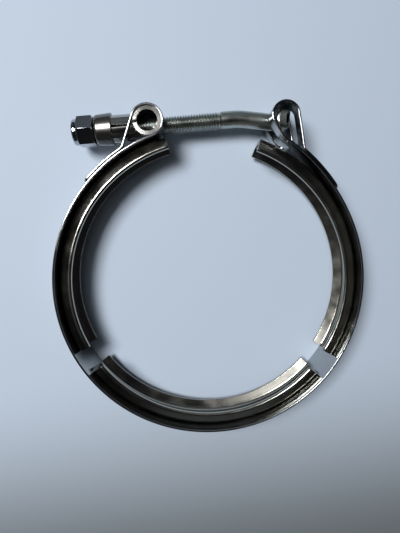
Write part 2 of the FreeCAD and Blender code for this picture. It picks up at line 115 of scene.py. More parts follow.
def stain(nodes, links, place_on, shader, roughness, spread):
    """Let the roughness vary by a spread to either side, as faint stains do."""
    stains = nodes.new("ShaderNodeTexNoise")
    stains.inputs["Scale"].default_value = STAIN_SCALE
    stains.inputs["Detail"].default_value = STAIN_DETAIL
    links.new(place_on, stains.inputs["Vector"])
    level = nodes.new("ShaderNodeMapRange")
    level.inputs["From Min"].default_value = NOISE_LOW
    level.inputs["From Max"].default_value = NOISE_HIGH
    level.inputs["To Min"].default_value = roughness - spread
    level.inputs["To Max"].default_value = roughness + spread
    links.new(stains.outputs["Fac"], level.inputs["Value"])
    links.new(level.outputs["Result"], shader.inputs["Roughness"])


# %% [markdown]
# Rolling draws every scratch out along the strip, and the strip is then bent round the ring. So its
# grain may depend only on the distance from the ring's axis and on the height. These two numbers
# are made into a place to read the noise at, and the grain runs round the ring by itself.

# %% A place that is the same all the way round the ring


def round_the_ring(nodes, links, place_on):
    """Give the distance from the ring's axis and the height as a place."""
    apart = nodes.new("ShaderNodeSeparateXYZ")
    flat = nodes.new("ShaderNodeCombineXYZ")
    distance = nodes.new("ShaderNodeVectorMath")
    distance.operation = "LENGTH"
    along = nodes.new("ShaderNodeCombineXYZ")
    links.new(place_on, apart.inputs["Vector"])
    links.new(apart.outputs["X"], flat.inputs["X"])
    links.new(apart.outputs["Y"], flat.inputs["Y"])
    links.new(flat.outputs["Vector"], distance.inputs[0])
    links.new(distance.outputs["Value"], along.inputs["X"])
    links.new(apart.outputs["Z"], along.inputs["Y"])
    return along.outputs["Vector"]


# %% [markdown]
# The grain itself is a very shallow relief, a hundredth of a millimetre or so at most, that only
# tilts the shading. Stains and grain together make one metal.

# %% A metal with stains and grain
GRAIN_DETAIL = 3


def metal(name, colour, roughness, spread, grain_scale, grain_depth, rolled=False):
    """Make one steel; rolled steel has its grain round the ring."""
    made = bpy.data.materials.new(name)
    made.use_nodes = True
    nodes, links = made.node_tree.nodes, made.node_tree.links
    shader = nodes["Principled BSDF"]
    shader.inputs["Base Color"].default_value = (*colour, 1)
    shader.inputs["Metallic"].default_value = 1
    place_on = nodes.new("ShaderNodeTexCoord").outputs["Object"]
    stain(nodes, links, place_on, shader, roughness, spread)
    grain = nodes.new("ShaderNodeTexNoise")
    grain.inputs["Scale"].default_value = grain_scale
    grain.inputs["Detail"].default_value = GRAIN_DETAIL
    source = round_the_ring(nodes, links, place_on) if rolled else place_on
    links.new(source, grain.inputs["Vector"])
    relief = nodes.new("ShaderNodeBump")
    relief.inputs["Strength"].default_value = 1
    relief.inputs["Distance"].default_value = grain_depth * MM
    links.new(grain.outputs["Fac"], relief.inputs["Height"])
    links.new(relief.outputs["Normal"], shader.inputs["Normal"])
    return made


# %% [markdown]
# The polished strap and the plated nut are the smoothest, and the forged bolt is the roughest and has
# the deepest grain. The cup is darker than the rest, and the plating of the nut is a little blue.

# %% The six metals
polished = metal("polished_strap", (0.40, 0.41, 0.42), roughness=0.12, spread=0.04,
                 grain_scale=900, grain_depth=0.002)
rolled = metal("rolled_segment", (0.40, 0.39, 0.35), roughness=0.17, spread=0.06,
               grain_scale=1500, grain_depth=0.005, rolled=True)
drawn = metal("drawn_trunnion", (0.44, 0.43, 0.41), roughness=0.15, spread=0.05,
              grain_scale=1100, grain_depth=0.003)
spun = metal("spun_cap", (0.2, 0.195, 0.185), roughness=0.26, spread=0.05,
             grain_scale=1100, grain_depth=0.003)
forged = metal("forged_bolt", (0.40, 0.43, 0.41), roughness=0.3, spread=0.08,
               grain_scale=1300, grain_depth=0.012)
plated = metal("plated_nut", (0.42, 0.44, 0.48), roughness=0.08, spread=0.03,
               grain_scale=700, grain_depth=0.001)
print("metals", [made.name for made in (polished, rolled, drawn, spun, forged, plated)])

# %% [markdown]
# ## The strap
#
# One sheet of polished stainless steel, 0.8 mm thick and 19 mm wide, is folded round into a loop
# at each end, brought back over itself and spot-welded. A sheet bent about one axis is easiest to
# walk: the cross-section is one flat face, spun about the centre of each bend and extruded
# along each straight, so every bend is a true arc. The values are those of the solids.

# %% A place in the plane of the ring


def polar(radius, azimuth):
    """The point at a radius and an azimuth in degrees, in the plane of the ring."""
    angle = math.radians(azimuth)
    return Vector((radius * math.cos(angle), radius * math.sin(angle), 0))


# %% [markdown]
# The ring is round the origin, so a place on it is best given by a radius and an azimuth. The left
# loop touches the ring and wraps the barrel, and the right loop stands off it.

# %% Sizes of the ring and its two loops, in millimetres and degrees
STRAP_THICK = 0.8
STRAP_WIDTH = 19.0
STRAP_OUTER = 56.5
PLY_GAP = 0.15
ring_radius = STRAP_OUTER - STRAP_THICK / 2
ply_step = STRAP_THICK + PLY_GAP
ply_radius = ring_radius + ply_step
BARREL_RADIUS = 4.95
BARREL_CLEARANCE = 0.05
wrap_radius = BARREL_RADIUS + BARREL_CLEARANCE + STRAP_THICK / 2
TOUCH = 105.8
barrel = polar(ring_radius + wrap_radius, TOUCH)
BOLT_Y = barrel.y
HOOK_INNER = 4.25
HOOK_STANDOFF = 8.8
HOOK_AZIMUTH = 60.9
hook_radius = HOOK_INNER + STRAP_THICK / 2
hook = polar(STRAP_OUTER + HOOK_STANDOFF, HOOK_AZIMUTH)
print("barrel at", barrel, "hook at", hook)

# %% [markdown]
# On the right the sheet doesn't follow the ring up to its loop. It springs off it early, along a
# wider arc that is 2 mm clear of the ring where the loop starts. The arc touches the ring and
# passes through that point, which gives its radius and its centre.

# %% The right end springs off the ring along a wider arc
LIFT = 2.0
LIFT_AZIMUTH = 17.0
TAKEOFF_AZIMUTH = 56.93
takeoff_reach = ring_radius + LIFT
lift_fall = ring_radius - takeoff_reach * math.cos(math.radians(TAKEOFF_AZIMUTH - LIFT_AZIMUTH))
lift_offset = (takeoff_reach ** 2 - ring_radius ** 2) / 2 / lift_fall
lift_centre = polar(-lift_offset, LIFT_AZIMUTH)
lift_radius = ring_radius + lift_offset
leave = polar(takeoff_reach, TAKEOFF_AZIMUTH) - lift_centre
takeoff = math.degrees(math.atan2(leave.y, leave.x))
print("lifted arc of radius", lift_radius, "about", lift_centre)

# %% [markdown]
# Four helpers do the walking. One finds the direction of a straight that touches two bends, one
# spins the selected end face round a bend, and one extrudes it along a straight. The last merges
# the doubled corners that spinning and extruding can leave.

# %% Walk the sheet's end face round bends and along straights
MERGE = 0.001


def heading(start_centre, start_turn, end_centre, end_turn):
    """Direction of the straight that touches two bends; turn radii are positive to the left."""
    gap = end_centre - start_centre
    lean = math.asin((start_turn - end_turn) / gap.length)
    return math.degrees(math.atan2(gap.y, gap.x) + lean)


def bend(centre, start_azimuth, end_azimuth, turn, facet=4.0):
    """Spin the selected end face about a bend's centre, turning left or right."""
    span = (end_azimuth - start_azimuth) % 360
    if turn == "right":
        span = -((start_azimuth - end_azimuth) % 360)
    steps = math.ceil(abs(span) / facet)
    bpy.ops.mesh.spin(steps=steps, angle=math.radians(-span), center=centre * MM, axis=(0, 0, 1))


def straight(start_point, end_point):
    """Extrude the selected end face from one point to another."""
    along = (end_point - start_point) * MM
    bpy.ops.mesh.extrude_region_move(TRANSFORM_OT_translate={"value": along})


def merge():
    """Merge the corners that share a place, and leave all of the piece selected."""
    bpy.ops.mesh.select_all(action="SELECT")
    bpy.ops.mesh.remove_doubles(threshold=MERGE * MM)


# %% [markdown]
# The left end comes first: its free end lies on the ring, folds up towards the barrel and wraps
# round it. The walk starts with the sheet's cross-section as a flat face at that free end. Long bends
# on the ring get fine facets, so that the polished band mirrors the room without steps.

# %% Walk the left end and its loop round the barrel
LEFT_END = 135.4
LEFT_FOLD = 118.5
LEFT_FOLD_RADIUS = 3.0
RING_FACET = 1.2
END_FACET = 2.9
centre = Vector((0, 0, 0))

section_turn = (math.pi / 2, 0, math.radians(LEFT_END))
section_size = (STRAP_THICK * MM, STRAP_WIDTH * MM, 1)
strap = start(bpy.ops.mesh.primitive_plane_add, size=1, rotation=section_turn, scale=section_size,
              location=polar(ply_radius, LEFT_END) * MM)

fold = polar(ply_radius + LEFT_FOLD_RADIUS, LEFT_FOLD)
rise = heading(fold, LEFT_FOLD_RADIUS, barrel, -wrap_radius)
bend(centre, LEFT_END, LEFT_END - END_FACET, "right", END_FACET)
bend(centre, LEFT_END - END_FACET, LEFT_FOLD, "right", RING_FACET)
bend(fold, LEFT_FOLD - 180, rise - 90, "left")
straight(fold + polar(LEFT_FOLD_RADIUS, rise - 90), barrel + polar(wrap_radius, rise + 90))
bend(barrel, rise + 90, TOUCH - 180, "right")
print("left loop", len(bmesh.from_edit_mesh(strap.data).faces), "faces")

# %% [markdown]
# The walk goes on round the ring, up to the right loop, over it and back down. This loop leans over
# the T-head and ends in a fold that lays the sheet's second end back on the lifted arc.

# %% Walk the ring and the right loop
RIGHT_END = 29.4
RIGHT_FOLD = 44.8
RIGHT_FOLD_RADIUS = 2.0
TAKEOFF_RADIUS = 8.0

away = lift_centre + polar(lift_radius + TAKEOFF_RADIUS, takeoff)
climb = heading(away, -TAKEOFF_RADIUS, hook, -hook_radius)
bend(centre, TOUCH, LIFT_AZIMUTH, "left", RING_FACET)
bend(lift_centre, LIFT_AZIMUTH, takeoff, "left", RING_FACET)
bend(away, takeoff - 180, climb + 90, "right")
straight(away + polar(TAKEOFF_RADIUS, climb + 90), hook + polar(hook_radius, climb + 90))

fold = lift_centre + polar(lift_radius + ply_step + RIGHT_FOLD_RADIUS, RIGHT_FOLD)
drop = heading(hook, -hook_radius, fold, RIGHT_FOLD_RADIUS)
bend(hook, climb + 90, drop + 90, "right")
straight(hook + polar(hook_radius, drop + 90), fold + polar(RIGHT_FOLD_RADIUS, drop - 90))
bend(fold, drop - 90, RIGHT_FOLD - 180, "left")
bend(lift_centre, RIGHT_FOLD, RIGHT_END + END_FACET, "right", RING_FACET)
bend(lift_centre, RIGHT_END + END_FACET, RIGHT_END, "right", END_FACET)
merge()
print("whole walk", len(bmesh.from_edit_mesh(strap.data).faces), "faces")

# %% [markdown]
# A free end with square corners would cut the hand, so the four corners are rounded. They are the
# short edges through the sheet's thickness at its two tips.

# %% Round the corners of both free ends
END_CORNER = 2.5
PICK_REACH = 0.05
left_tip = polar(ply_radius, LEFT_END)
right_tip = lift_centre + polar(lift_radius + ply_step, RIGHT_END)
edge_height = Vector((0, 0, STRAP_WIDTH / 2))
tips = [tip + side * edge_height for tip in (left_tip, right_tip) for side in (-1, 1)]
pick("EDGE", lambda at: min((at - tip).length for tip in tips) < PICK_REACH)
bpy.ops.mesh.bevel(offset=END_CORNER * MM, segments=6)
close(strap, "strap_sheet")
print("strap sheet", len(strap.data.polygons), "faces before the slots")

# %% [markdown]
# Holes are cut by a Boolean modifier and a tool. A slot has round corners, because a punch with sharp
# ones would soon chip, so its tool is a block whose edges along the punch's stroke are rounded.

# %% Modifiers, booleans and a punch


def apply_modifier(piece, kind, **settings):
    """Add a modifier, set it and apply it."""
    bpy.context.view_layer.objects.active = piece
    made = piece.modifiers.new(kind.lower(), kind)
    for key, value in settings.items():
        setattr(made, key, value)
    bpy.ops.object.modifier_apply(modifier=made.name)


def combine(piece, operation, *tools):
    """Cut tools out of a piece, or unite or intersect them with it, and throw the tools away."""
    for tool in tools:
        apply_modifier(piece, "BOOLEAN", operation=operation, object=tool, solver="EXACT")
        bpy.data.objects.remove(tool)


def block(low, high, rounding, axis=0):
    """A square tool between two corners in millimetres, its edges along one axis rounded."""
    low, high = Vector(low) * MM, Vector(high) * MM
    made = start(bpy.ops.mesh.primitive_cube_add, size=1, location=(low + high) / 2,
                 scale=high - low)
    bpy.ops.mesh.select_mode(type="EDGE")
    bpy.ops.mesh.select_all(action="DESELECT")
    mesh = bmesh.from_edit_mesh(made.data)
    for edge in mesh.edges:
        along = edge.verts[1].co - edge.verts[0].co
        edge.select_set(abs(along[axis]) > along.length / 2)
    bmesh.update_edit_mesh(made.data)
    bpy.ops.mesh.bevel(offset=rounding * MM, segments=7)
    return close(made, "tool")


# %% [markdown]
# The bolt and the trunnion's sleeve pass through six punched slots, each cut away where the measured
# part has its opening. At the left are the sleeve's slot, one over the crown of the loop and the
# bolt's slot. At the right are the slot for the bolt's neck, its run down to the ring, and a slot
# with a round end in the back of the loop.

# %% Punch the slots
SLEEVE_HALF = 5.6
BOLT_HALF = 3.7
SLOT_CORNER = 1.8
SLOT_CLEARANCE = 0.7
SLEEVE_SLOT_REACH = 15
SLEEVE_SLOT_START = 0.6 * BARREL_RADIUS
CROWN_SLOT_REACH = 11.7
NECK_SLOT_DROP = 5.2
NECK_SLOT_RISE = 4.2
FOOT_SLOT_DROP = 11
FOOT_SLOT_LENGTH = 1.9
BACK_SLOT_DROP = 10
BACK_SLOT_RISE = 3.35
BACK_CORNER = 3.4
wrap_reach = wrap_radius + STRAP_THICK
hook_reach = 2 * hook_radius

sleeve_slot = block((barrel.x - SLEEVE_SLOT_REACH, BOLT_Y - SLEEVE_HALF, -SLEEVE_HALF),
                    (barrel.x - SLEEVE_SLOT_START, BOLT_Y + wrap_reach, SLEEVE_HALF), SLOT_CORNER)
crown_slot = block((barrel.x - CROWN_SLOT_REACH, BOLT_Y + BARREL_RADIUS / 2, -SLEEVE_HALF),
                   (barrel.x + SLOT_CLEARANCE, BOLT_Y + 2 * wrap_reach, SLEEVE_HALF), SLOT_CORNER)
bolt_slot = block((barrel.x, BOLT_Y - BOLT_HALF, -BOLT_HALF),
                  (barrel.x + wrap_reach, BOLT_Y + BOLT_HALF, BOLT_HALF), SLOT_CORNER)
neck_slot = block((hook.x - hook_reach, hook.y - NECK_SLOT_DROP, -BOLT_HALF),
                  (hook.x - SLOT_CLEARANCE, hook.y + NECK_SLOT_RISE, BOLT_HALF), SLOT_CORNER)
foot_slot = block((hook.x - hook_reach, hook.y - FOOT_SLOT_DROP, -BOLT_HALF),
                  (hook.x + FOOT_SLOT_LENGTH, hook.y, BOLT_HALF), SLOT_CORNER, axis=1)
back_slot = block((hook.x + SLOT_CLEARANCE, hook.y - BACK_SLOT_DROP, -BOLT_HALF),
                  (hook.x + hook_reach, hook.y + BACK_SLOT_RISE, BOLT_HALF), BACK_CORNER)
combine(strap, "DIFFERENCE", sleeve_slot, crown_slot, bolt_slot, neck_slot, foot_slot, back_slot)
print("slotted strap", len(strap.data.polygons), "faces")

# %% [markdown]
# Spot welding leaves a shallow round dimple in the outside of the strap: two in each folded end and
# up to three behind each segment. Where the sheet has left the ring nothing is behind it to weld
# to, so that spot is left out. The segments' azimuths are needed here for the first time.

# %% List the welds: centre, azimuth, radius of the surface, and height
SEGMENT_PLACES = ("left", "bottom", "right")
WELD_RADIUS = 1.5
WELD_DEPTH = 0.12
WELD_HEIGHT = 4.8
WELD_SHARES = (0.14, 0.5, 0.77)
ball_radius = (WELD_RADIUS ** 2 + WELD_DEPTH ** 2) / 2 / WELD_DEPTH
FIRST_AZIMUTH = 101.6
SEGMENT_SPAN = 101.5
SEGMENT_GAP = 9.6
SEGMENT_PITCH = SEGMENT_SPAN + SEGMENT_GAP
ply_outside = ply_radius + STRAP_THICK / 2
lift_outside = lift_radius + ply_step + STRAP_THICK / 2
left_middle = (LEFT_END + LEFT_FOLD) / 2
right_middle = (RIGHT_END + RIGHT_FOLD) / 2
welds = [(centre, left_middle, ply_outside, side * WELD_HEIGHT) for side in (-1, 1)]
welds += [(lift_centre, right_middle, lift_outside, side * WELD_HEIGHT) for side in (-1, 1)]
for number in range(len(SEGMENT_PLACES)):
    for share in WELD_SHARES:
        azimuth = FIRST_AZIMUTH + number * SEGMENT_PITCH + share * SEGMENT_SPAN
        if azimuth < 360 + LIFT_AZIMUTH:
            welds.append((centre, azimuth, STRAP_OUTER, 0))
print(len(welds), "welds")

# %% [markdown]
# A big ball that dips a little into the surface cuts a dimple of the right width and depth. It is
# pressed in at each place in turn.

# %% Press the weld dimples
for middle, azimuth, surface, height in welds:
    spot = middle + polar(surface + ball_radius - WELD_DEPTH, azimuth) + Vector((0, 0, height))
    ball = start(bpy.ops.mesh.primitive_uv_sphere_add, segments=96, ring_count=48,
                 radius=ball_radius * MM, location=spot * MM)
    combine(strap, "DIFFERENCE", close(ball, "tool"))
print("strap with welds", len(strap.data.polygons), "faces")

# %% [markdown]
# No real edge is sharp: cut sheet is tumbled and turned parts are deburred. A bevel on every edge
# over an angle does this, and weighted normals keep the large faces flat between the round
# edges. A finished piece then takes the place of its measured part and gets its metal.

# %% Break edges, shade smoothly and hand a piece over


def smooth(piece, angle=35):
    """Smooth shading up to an angle, with flat faces kept flat."""
    bpy.ops.object.select_all(action="DESELECT")
    piece.select_set(True)
    bpy.context.view_layer.objects.active = piece
    bpy.ops.object.shade_smooth_by_angle(angle=math.radians(angle))
    apply_modifier(piece, "WEIGHTED_NORMAL", keep_sharp=True)


def soften(piece, width, segments=2, angle=40, clamp=True):
    """Break the sharp edges of a finished shape, as deburring does."""
    apply_modifier(piece, "BEVEL", width=width * MM, segments=segments, limit_method="ANGLE",
                   angle_limit=math.radians(angle), use_clamp_overlap=clamp)
    smooth(piece)


def place(piece, node, body, material):
    """Put a finished piece in the place of a measured part."""
    piece.data.materials.clear()
    piece.data.materials.append(material)
    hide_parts(node)
    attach(piece, body)
    print(piece.name, len(piece.data.polygons), "faces")


# %% [markdown]
# Seen from above, the strap's thin round edges are what catches the light, so they are wider than on
# the other pieces.

# %% Round the strap's edges
STRAP_EDGE = 0.28
soften(strap, STRAP_EDGE, segments=4, clamp=False)
place(strap, "strap", "band", polished)

# %% [markdown]
# ## The three V segments
#
# Each segment is roll-formed from 1.6 mm strip: a flat base on the strap, two bends and two legs
# that flare by 20 degrees. The section is drawn as half a V, cut off straight at the toe, mirrored,
# and spun round the ring's axis.

# %% Draw half the section
BASE_RADIUS = 55.7
TOE_RADIUS = 50.5
SEGMENT_WALL = 1.6
FLAT_HALF = 2.9
BEND_RADIUS = 3.0
LEG_ANGLE = 20.0
LEG_REACH = 3.8
PICK = 0.01

section = start(bpy.ops.mesh.primitive_plane_add, size=1, rotation=(math.pi / 2, 0, 0),
                scale=(SEGMENT_WALL * MM, 2 * FLAT_HALF * MM, 1),
                location=((BASE_RADIUS - SEGMENT_WALL / 2) * MM, 0, 0))
pick("EDGE", lambda at: at.z > FLAT_HALF - PICK)
bend_centre = Vector((BASE_RADIUS - BEND_RADIUS, 0, FLAT_HALF)) * MM
bpy.ops.mesh.spin(steps=8, angle=math.radians(90 - LEG_ANGLE), center=bend_centre, axis=(0, 1, 0))
lean = math.radians(LEG_ANGLE)
leg = Vector((-math.cos(lean), 0, math.sin(lean))) * LEG_REACH * MM
bpy.ops.mesh.extrude_region_move(TRANSFORM_OT_translate={"value": leg})
bpy.ops.mesh.select_all(action="SELECT")
bpy.ops.mesh.bisect(plane_co=(TOE_RADIUS * MM, 0, 0), plane_no=(1, 0, 0), clear_inner=True)
toe_top = max(v.co.z for v in bmesh.from_edit_mesh(section.data).verts) / MM
print("toe", toe_top, "mm above the middle")

# %% [markdown]
# The rolls leave the toe's outer corner well rounded, and that round is the bright line which runs
# along each segment. Its inner corner is only deburred. Then the half is mirrored and spun.

# %% Round the toe, mirror the half and spin it
TOE_ROUND = 1.45
TOE_DEBURR = 0.2
SEGMENT_EDGE = 0.12
SEGMENT_CREASE = 20
pick("VERT", lambda at: at.z > toe_top - PICK)
bpy.ops.mesh.bevel(affect="VERTICES", offset=TOE_ROUND * MM, segments=8)
pick("VERT", lambda at: at.x < TOE_RADIUS + PICK and at.z < toe_top - TOE_ROUND - PICK)
bpy.ops.mesh.bevel(affect="VERTICES", offset=TOE_DEBURR * MM, segments=3)
bpy.ops.mesh.select_all(action="SELECT")
bpy.ops.mesh.symmetrize(direction="POSITIVE_Z")
merge()
bpy.ops.mesh.spin(steps=72, angle=math.radians(-SEGMENT_SPAN), center=(0, 0, 0), axis=(0, 0, 1))
close(section, "v_segment")
apply_modifier(section, "BEVEL", width=SEGMENT_EDGE * MM, segments=3, limit_method="ANGLE",
               angle_limit=math.radians(SEGMENT_CREASE))
print("segment", len(section.data.polygons), "faces")

# %% [markdown]
# The three segments are alike, so one is made and copied. Each copy gets its own mesh, which is
# turned about the ring's axis, while the object itself stays unturned at the origin.

# %% Copy it to its three places
for number, where in enumerate(SEGMENT_PLACES):
    segment = bpy.data.objects.new("v_segment_" + where, section.data.copy())
    bpy.context.scene.collection.objects.link(segment)
    azimuth = math.radians(FIRST_AZIMUTH + number * SEGMENT_PITCH)
    segment.data.transform(Matrix.Rotation(azimuth, 4, "Z"))
    smooth(segment)
    place(segment, "retainer_" + where, "band", rolled)
bpy.data.objects.remove(section)

# %% [markdown]
# ## The trunnion
#
# One sheet is rolled into a barrel across the strap, and its two flaps are drawn out as half
# shells round the bolt. A seam runs down the barrel and along the sleeve. To bend one sheet in two
# directions is hard, and two rods that are united, bored and slit give the same shape. A rod or a
# tool on the bolt's axis starts as a disc, which is extruded and resized step by step.

# %% A round body on the bolt's axis


def turned(*steps, sides=64):
    """A closed round body about the bolt's axis, from steps of (place, radius) in millimetres."""
    place_x, radius = steps[0]
    made = start(bpy.ops.mesh.primitive_circle_add, vertices=sides, radius=radius * MM,
                 fill_type="NGON", location=(place_x * MM, BOLT_Y * MM, 0),
                 rotation=(0, math.pi / 2, 0))
    for next_x, next_radius in steps[1:]:
        along = ((next_x - place_x) * MM, 0, 0)
        bpy.ops.mesh.extrude_region_move(TRANSFORM_OT_translate={"value": along})
        bpy.ops.transform.resize(value=(1, next_radius / radius, next_radius / radius))
        place_x, radius = next_x, next_radius
    return close(made, "tool")


# %% [markdown]
# Tools run a millimetre past the surfaces that they cut, because surfaces in one plane can leave
# slivers. For the same reason the two bores have slightly unlike radii.

# %% Unite the barrel and the sleeve, then bore and slit them
OVERSHOOT = 1
BARREL_LENGTH = 17.6
BARREL_BORE = 3.65
SLEEVE_RADIUS = 4.9
SLEEVE_BORE = 3.6
BOLT_HOLE = 3.5
SLEEVE_LENGTH = 18.3
SEAM_HALF = 0.55
SEAM_START = 3
SEAM_CORNER = 0.1
DRILL_PAST_BARREL = 8
SHEET_EDGE = 0.25
sleeve_end = barrel.x - SLEEVE_LENGTH

trunnion = start(bpy.ops.mesh.primitive_cylinder_add, vertices=96, radius=BARREL_RADIUS * MM,
                 depth=BARREL_LENGTH * MM, location=barrel * MM)
close(trunnion, "trunnion_sheet")
sleeve = turned((sleeve_end, SLEEVE_RADIUS), (barrel.x, SLEEVE_RADIUS), sides=96)
combine(trunnion, "UNION", sleeve)
bore = start(bpy.ops.mesh.primitive_cylinder_add, vertices=96, radius=BARREL_BORE * MM,
             depth=2 * BARREL_LENGTH * MM, location=barrel * MM)
close(bore, "tool")
drill = turned((sleeve_end - OVERSHOOT, SLEEVE_BORE), (barrel.x, SLEEVE_BORE),
               (barrel.x, BOLT_HOLE), (barrel.x + DRILL_PAST_BARREL, BOLT_HOLE), sides=80)
combine(trunnion, "DIFFERENCE", bore, drill)
seam = block((sleeve_end - OVERSHOOT, BOLT_Y - SEAM_HALF, -BARREL_LENGTH),
             (barrel.x - SEAM_START, BOLT_Y + SEAM_HALF, BARREL_LENGTH), SEAM_CORNER, axis=2)
combine(trunnion, "DIFFERENCE", seam)
soften(trunnion, SHEET_EDGE, segments=3)
place(trunnion, "trunnion", "latch", drawn)

# %% [markdown]
# ## The thrust cap
#
# A small cup slides over the end of the sleeve, and the nut bears on its closed face. Its mouth is a
# little wider than its base, so that it comes off the tool that forms it. A cone gives the outside,
# its closed end is rounded, and one stepped tool cuts the hollow and the bolt's hole together. The
# cone is a finished body, so it is opened in edit mode again for the rounding.

# %% Hollow a cone and round its closed end


def reopen(piece):
    """Open a finished piece in edit mode again."""
    bpy.context.view_layer.objects.active = piece
    bpy.ops.object.mode_set(mode="EDIT")


CAP_END_CLEARANCE = 0.2
CAP_BOTTOM = 1.3
CAP_LENGTH = 6.5
CAP_BASE_RADIUS = 5.4
CAP_MOUTH_RADIUS = 5.8
CAP_HOLLOW = 4.95
CAP_ROUND = 1.4
TURNED_EDGE = 0.12
cap_inner = sleeve_end - CAP_END_CLEARANCE
cap_face = cap_inner - CAP_BOTTOM
cap_mouth = cap_face + CAP_LENGTH

cap = turned((cap_face, CAP_BASE_RADIUS), (cap_mouth, CAP_MOUTH_RADIUS), sides=96)
reopen(cap)
pick("FACE", lambda at: at.x < cap_face + PICK)
bpy.ops.mesh.bevel(offset=CAP_ROUND * MM, segments=6)
close(cap, "thrust_cup")
hollow = turned((cap_face - OVERSHOOT, BOLT_HOLE), (cap_inner, BOLT_HOLE),
                (cap_inner, CAP_HOLLOW), (cap_mouth + OVERSHOOT, CAP_HOLLOW), sides=80)
combine(cap, "DIFFERENCE", hollow)
soften(cap, TURNED_EDGE)
place(cap, "thrust_cap", "cap", spun)

# %% [markdown]
# ## The bolt
#
# A forged bolt with a rolled thread, a bent plain shank and a half-round cross head. The shank is a
# round face that is extruded and spun like the strap's. It has the thread's core radius first and
# steps up to the full shank where the thread ends. The bend is a true arc that ends where the
# straight neck points at the head's seat in the right loop.

# %% The core, the shank and its bend
BOLT_RADIUS = 3.0
CORE_RADIUS = 2.36
SEAT_GAP = 0.05
NUT_HEIGHT = 7.9
TIP_RECESS = 0.8
TIP_CHAMFER = 0.3
BEND_REACH = 18.2
PLAIN_LENGTH = 4.0
SHOULDER_BEFORE = 0.3
SHOULDER_AFTER = 0.2
NECK_RADIUS = 30.0
HEAD_RADIUS = 3.2
HEAD_CLEARANCE = 0.3
HEAD_SEAT_AZIMUTH = 248
nut_seat = cap_face - SEAT_GAP
nut_end = nut_seat - NUT_HEIGHT
bolt_tip = nut_end + TIP_RECESS
bend_x = hook.x - BEND_REACH
thread_end = bend_x - PLAIN_LENGTH
head_at = hook + polar(HOOK_INNER - HEAD_RADIUS - HEAD_CLEARANCE, HEAD_SEAT_AZIMUTH)
neck_centre = Vector((bend_x, BOLT_Y - NECK_RADIUS, 0))
reach = head_at - neck_centre
fall = math.degrees(math.atan2(reach.y, reach.x) - math.asin(NECK_RADIUS / reach.length))

bolt = turned((bolt_tip, CORE_RADIUS - TIP_CHAMFER), (bolt_tip + TIP_CHAMFER, CORE_RADIUS),
              (thread_end - SHOULDER_BEFORE, CORE_RADIUS),
              (thread_end + SHOULDER_AFTER, BOLT_RADIUS), (bend_x, BOLT_RADIUS))
reopen(bolt)
pick("FACE", lambda at: at.x > bend_x - PICK)
bpy.ops.mesh.spin(steps=10, angle=math.radians(-fall), center=neck_centre * MM, axis=(0, 0, 1))
neck_start = neck_centre + polar(NECK_RADIUS, fall + 90)
straight(neck_start, head_at)
merge()
close(bolt, "bolt_forging")
print("shank falls by", fall, "degrees")

# %% [markdown]
# The head is a round bar across the neck, half cut away: its round side bears in the loop, and its
# back is drawn out flat. A cylinder is cut in half by a bisect, the cut face is extruded, and
# bevels round the back's edges and dome the two ends.

# %% The cross head, with domed ends
HEAD_HALF = 7.5
HEAD_BACK = 2.2
HEAD_BACK_ROUND = 1.0
HEAD_DOME = 1.5
head = start(bpy.ops.mesh.primitive_cylinder_add, vertices=64, radius=HEAD_RADIUS * MM,
             depth=2 * HEAD_HALF * MM, location=head_at * MM, rotation=(0, 0, math.radians(fall)))
ahead = polar(1, fall)
bpy.ops.mesh.bisect(plane_co=head_at * MM, plane_no=ahead, clear_outer=True, use_fill=True)
bpy.ops.mesh.normals_make_consistent(inside=False)
pick("FACE", lambda at: (at - head_at).dot(ahead) > -PICK)
bpy.ops.mesh.extrude_region_move(TRANSFORM_OT_translate={"value": ahead * HEAD_BACK * MM})
pick("EDGE", lambda at: (at - head_at).dot(ahead) > HEAD_BACK - PICK and abs(at.z) < PICK)
bpy.ops.mesh.bevel(offset=HEAD_BACK_ROUND * MM, segments=5)
pick("FACE", lambda at: abs(at.z) > HEAD_HALF - PICK)
bpy.ops.mesh.bevel(offset=HEAD_DOME * MM, segments=7)
close(head, "tool")
combine(bolt, "UNION", head)
print("bolt with its head", len(bolt.data.polygons), "faces")

# %% [markdown]
# The thread is one trapezoid ridge, wound round the core by a Screw modifier, a millimetre along for
# each turn. Its foot is sunk a little into the core, so that no gap shows. The winding leaves both
# ends open, and a face closes each.

# %% Wind the thread
PITCH = 1.0
THREAD_RADIUS = 2.95
THREAD_START = 0.7
THREAD_RUNOUT = 0.9
FOOT_HALF = 0.42
CREST_HALF = 0.07
FOOT_SINK = 0.05
foot_radius = CORE_RADIUS - FOOT_SINK
first_turn = bolt_tip + THREAD_START
ridge = start(bpy.ops.mesh.primitive_plane_add, size=1, location=(first_turn * MM, BOLT_Y * MM, 0))
bpy.ops.object.mode_set(mode="OBJECT")
corners = [(-FOOT_HALF, foot_radius), (FOOT_HALF, foot_radius),
           (-CREST_HALF, THREAD_RADIUS), (CREST_HALF, THREAD_RADIUS)]
for vertex, (across, out) in zip(ridge.data.vertices, corners):
    vertex.co = Vector((first_turn + across, out, 0)) * MM
turns = round((thread_end - bolt_tip - THREAD_RUNOUT) / PITCH)
apply_modifier(ridge, "SCREW", axis="X", screw_offset=PITCH * MM, iterations=turns, steps=32,
               render_steps=32, use_merge_vertices=False, use_normal_calculate=True)
bpy.ops.object.mode_set(mode="EDIT")
bpy.ops.mesh.select_mode(type="EDGE")
bpy.ops.mesh.select_all(action="DESELECT")
bpy.ops.mesh.select_non_manifold()
bpy.ops.mesh.edge_face_add()
bpy.ops.mesh.select_all(action="SELECT")
bpy.ops.transform.translate(value=(0, BOLT_Y * MM, 0))
close(ridge, "thread_ridge")
print(turns, "turns of thread,", len(ridge.data.polygons), "faces")

# %% [markdown]
# The ridge and the core are two closed shells. Uniting hundreds of thin crossings would be slow and
# leave slivers, so they are joined as they are into one piece.

